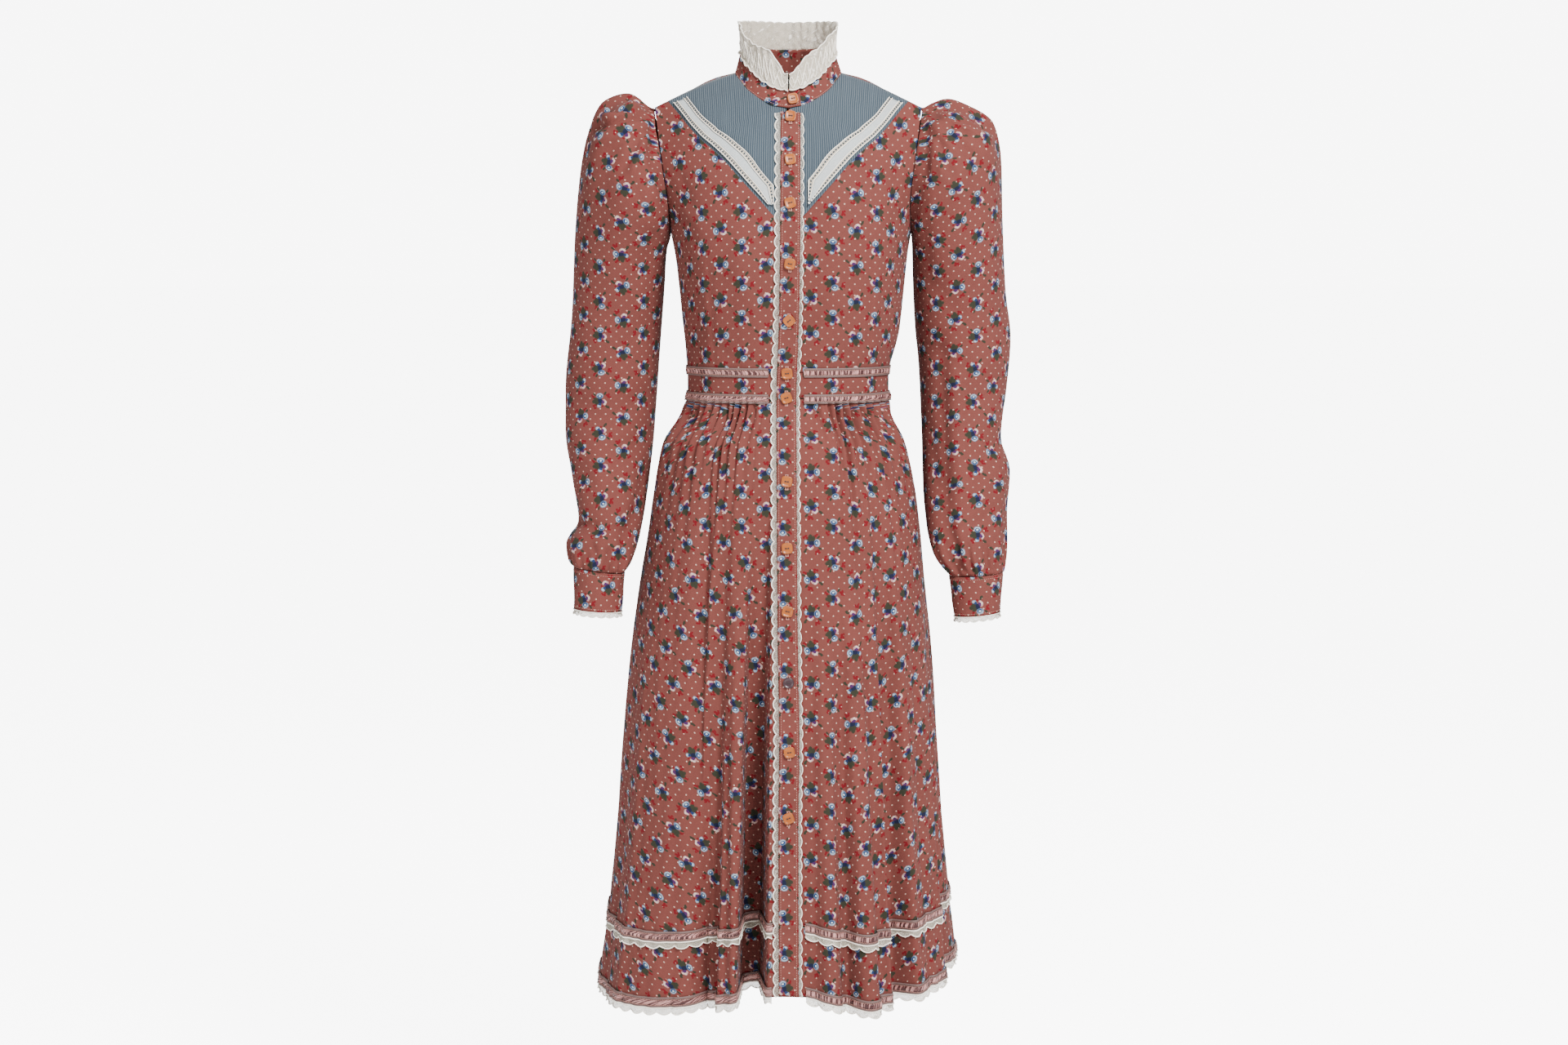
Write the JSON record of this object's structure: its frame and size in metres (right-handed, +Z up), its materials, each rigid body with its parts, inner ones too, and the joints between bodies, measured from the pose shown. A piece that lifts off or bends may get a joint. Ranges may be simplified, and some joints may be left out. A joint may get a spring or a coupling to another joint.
{
  "type": "prairie dress",
  "caption": "Long-sleeved prairie dress with a standing lace collar, lace-edged V yoke, buttoned front placket, puffed sleeves, ribbon-trimmed waistband and gathered midi skirt",
  "frame": {"origin": "between the high points of the two shoulder seams, level with them, where the wearer holds the dress up", "axes": "+Z up along the dress, front faces -Y, +X to the viewer's right when the front is looked at"},
  "size_m": [0.5475, 0.3745, 1.1921],
  "materials": {
    "calico": "printed cotton calico, matt",
    "chambray": "fine striped cotton chambray, matt",
    "lace": "cream cotton lace",
    "ribbon": "gathered satin ribbon between sheer edges",
    "button": "polished two-hole wooden button",
    "button_dark": "polished dark two-hole wooden button"
  },
  "bodies": {
    "root": {"front_left": "calico", "front_right": "calico", "back_bodice": "calico", "waistband_front_left": "calico", "waistband_front_right": "calico", "waistband_back": "calico", "skirt_front_left": "calico", "skirt_front_right": "calico", "skirt_back": "calico", "tier_front_left": "calico", "tier_front_right": "calico", "tier_back": "calico", "placket": "calico", "under_placket": "calico", "collar_stand": "calico", "sleeve_left": "calico", "sleeve_right": "calico", "cuff_left": "calico", "cuff_right": "calico", "yoke_left": "chambray", "yoke_right": "chambray", "yoke_lace_left": "lace", "yoke_lace_right": "lace", "placket_lace_left": "lace", "placket_lace_right": "lace", "tier_lace": "lace", "hem_lace": "lace", "collar_lace": "lace", "cuff_lace_left": "lace", "cuff_lace_right": "lace", "waist_ribbon_upper": "ribbon", "waist_ribbon_lower": "ribbon", "tier_ribbon": "ribbon", "hem_ribbon": "ribbon", "button_01": "button", "button_02": "button", "button_03": "button", "button_04": "button", "button_05": "button", "button_06": "button", "button_07": "button", "button_08": "button", "button_09": "button", "button_10": "button", "button_11": "button", "button_13": "button", "button_14": "button", "button_12": "button_dark"}
  },
  "joints": []
}
